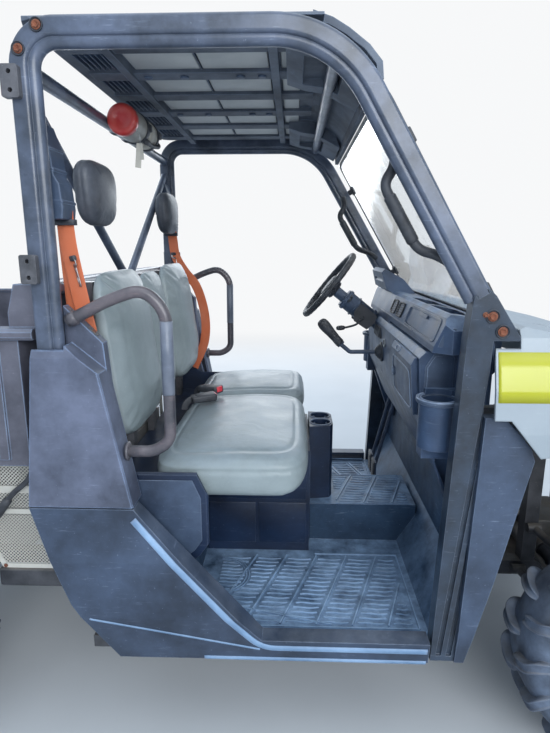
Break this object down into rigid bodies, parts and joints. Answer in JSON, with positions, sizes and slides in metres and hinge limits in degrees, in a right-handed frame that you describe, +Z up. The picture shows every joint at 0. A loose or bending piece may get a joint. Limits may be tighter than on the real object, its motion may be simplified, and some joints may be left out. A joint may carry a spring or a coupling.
{
  "type": "side by side utility vehicle",
  "caption": "Open-cab side by side utility vehicle with roll cage, roof, bench seat, tilting load bed, opening hood and steered front wheels on lugged tyres.",
  "frame": {"origin": "on the ground, below the middle of the vehicle's box", "axes": "+X forward, +Y to the driver's left, +Z up"},
  "size_m": [3.24, 1.597, 2.048],
  "materials": {
    "tyre": "matt, dusty",
    "wheel_steel": "satin black",
    "frame_paint": "satin black powder coat",
    "cage_paint": "satin black, scuffed blue-grey",
    "black_plastic": "grained, scuffed",
    "clear_sheet": "clear",
    "seat_vinyl": "grained vinyl",
    "headrest_vinyl": "grained vinyl",
    "belt_webbing": "woven",
    "buckle_plastic": "moulded",
    "steering_grip": "soft",
    "grey_body": "semi-gloss",
    "lamp_lens": "clear",
    "radiator_metal": "dull",
    "cast_metal": "cast",
    "damper_metal": "satin",
    "bed_plastic": "grained",
    "guard_cream": "dusty powder coat",
    "exhaust_steel": "heat stained",
    "bottle_paint": "gloss red"
  },
  "bodies": {
    "chassis": {"frame_rails": "frame_paint", "frame_crossmembers": "frame_paint", "frame_posts": "frame_paint", "frame_upper_rails": "frame_paint", "skid_plate": "frame_paint", "suspension_arms": "frame_paint", "rear_bumper": "frame_paint", "seat_back_frame": "frame_paint", "hip_bars": "frame_paint", "grab_handles": "frame_paint", "door_brackets": "frame_paint", "rops_side_hoops": "cage_paint", "rops_cross_members": "cage_paint", "rops_front_posts": "cage_paint", "floor_pan": "black_plastic", "seat_base": "black_plastic", "rear_side_panels": "black_plastic", "rocker_panels": "black_plastic", "front_side_panels": "black_plastic", "dash": "black_plastic", "roof_panel": "black_plastic", "belt_retractors": "black_plastic", "front_fascia": "black_plastic", "steering_column": "black_plastic", "driver_controls": "black_plastic", "front_bumper": "black_plastic", "windshield": "clear_sheet", "seat_backs": "seat_vinyl", "headrests": "headrest_vinyl", "seat_belts": "belt_webbing", "front_fenders": "grey_body", "lamps": "lamp_lens", "radiator": "radiator_metal", "drivetrain": "cast_metal", "rear_hub_carriers": "cast_metal", "steering_rack": "cast_metal", "shock_absorbers": "damper_metal", "side_guards": "guard_cream", "exhaust": "exhaust_steel", "fire_extinguisher": "bottle_paint"},
    "knuckle_left": {"knuckle_left": "cast_metal"},
    "knuckle_right": {"knuckle_right": "cast_metal"},
    "wheel_front_left": {"tyre_front_left": "tyre", "rim_front_left": "wheel_steel"},
    "wheel_front_right": {"tyre_front_right": "tyre", "rim_front_right": "wheel_steel"},
    "wheel_rear_left": {"tyre_rear_left": "tyre", "rim_rear_left": "wheel_steel"},
    "wheel_rear_right": {"tyre_rear_right": "tyre", "rim_rear_right": "wheel_steel"},
    "steering_wheel": {"steering_wheel": "steering_grip"},
    "hood": {"hood": "grey_body"},
    "glove_box_lid": {"glove_box_lid": "black_plastic"},
    "seat_passenger": {"seat_cushion_passenger": "seat_vinyl", "belt_buckles": "buckle_plastic"},
    "seat_driver": {"seat_cushion_driver": "seat_vinyl"},
    "load_bed": {"cargo_box": "bed_plastic"},
    "tailgate": {"tailgate": "bed_plastic"}
  },
  "joints": [
    {"name": "steer_left", "type": "hinge", "parent": "chassis", "child": "knuckle_left", "pos_m": [1.17, 0.61, 0.343], "axis": [0, 0, 1], "range_deg": [-28, 28]},
    {"name": "steer_right", "type": "hinge", "parent": "chassis", "child": "knuckle_right", "pos_m": [1.17, -0.61, 0.343], "axis": [0, 0, 1], "range_deg": [-28, 28]},
    {"name": "steering_wheel_turn", "type": "hinge", "parent": "chassis", "child": "steering_wheel", "pos_m": [0.334, 0.36, 1.337], "axis": [-0.7804, 0, 0.6252], "range_deg": [-337, 337]},
    {"name": "wheel_spin_front_left", "type": "hinge", "parent": "knuckle_left", "child": "wheel_front_left", "pos_m": [1.17, 0.685, 0.343], "axis": [0, 1, 0], "continuous": true},
    {"name": "wheel_spin_front_right", "type": "hinge", "parent": "knuckle_right", "child": "wheel_front_right", "pos_m": [1.17, -0.685, 0.343], "axis": [0, 1, 0], "continuous": true},
    {"name": "wheel_spin_rear_left", "type": "hinge", "parent": "chassis", "child": "wheel_rear_left", "pos_m": [-1.12, 0.672, 0.343], "axis": [0, 1, 0], "continuous": true},
    {"name": "wheel_spin_rear_right", "type": "hinge", "parent": "chassis", "child": "wheel_rear_right", "pos_m": [-1.12, -0.672, 0.343], "axis": [0, 1, 0], "continuous": true},
    {"name": "hood_lift", "type": "hinge", "parent": "chassis", "child": "hood", "pos_m": [1.5458, 0, 1.012], "axis": [0, 1, 0], "range_deg": [0, 60]},
    {"name": "glove_lid_open", "type": "hinge", "parent": "chassis", "child": "glove_box_lid", "pos_m": [0.5465, -0.36, 1.0059], "axis": [0, -1, 0], "range_deg": [0, 75]},
    {"name": "seat_flip_passenger", "type": "hinge", "parent": "chassis", "child": "seat_passenger", "pos_m": [-0.268, -0.235, 0.9], "axis": [0, -1, 0], "range_deg": [0, 75]},
    {"name": "seat_flip_driver", "type": "hinge", "parent": "chassis", "child": "seat_driver", "pos_m": [-0.268, 0.385, 0.9], "axis": [0, -1, 0], "range_deg": [0, 75]},
    {"name": "bed_tilt", "type": "hinge", "parent": "chassis", "child": "load_bed", "pos_m": [-1.426, 0, 0.89], "axis": [0, -1, 0], "range_deg": [0, 40]},
    {"name": "tailgate_open", "type": "hinge", "parent": "load_bed", "child": "tailgate", "pos_m": [-1.592, 0, 0.929], "axis": [0, -1, 0], "range_deg": [0, 90]}
  ],
  "couplings": [
    {"joint": "steer_right", "follows": "steer_left", "ratio": 1},
    {"joint": "steering_wheel_turn", "follows": "steer_left", "ratio": 12}
  ]
}
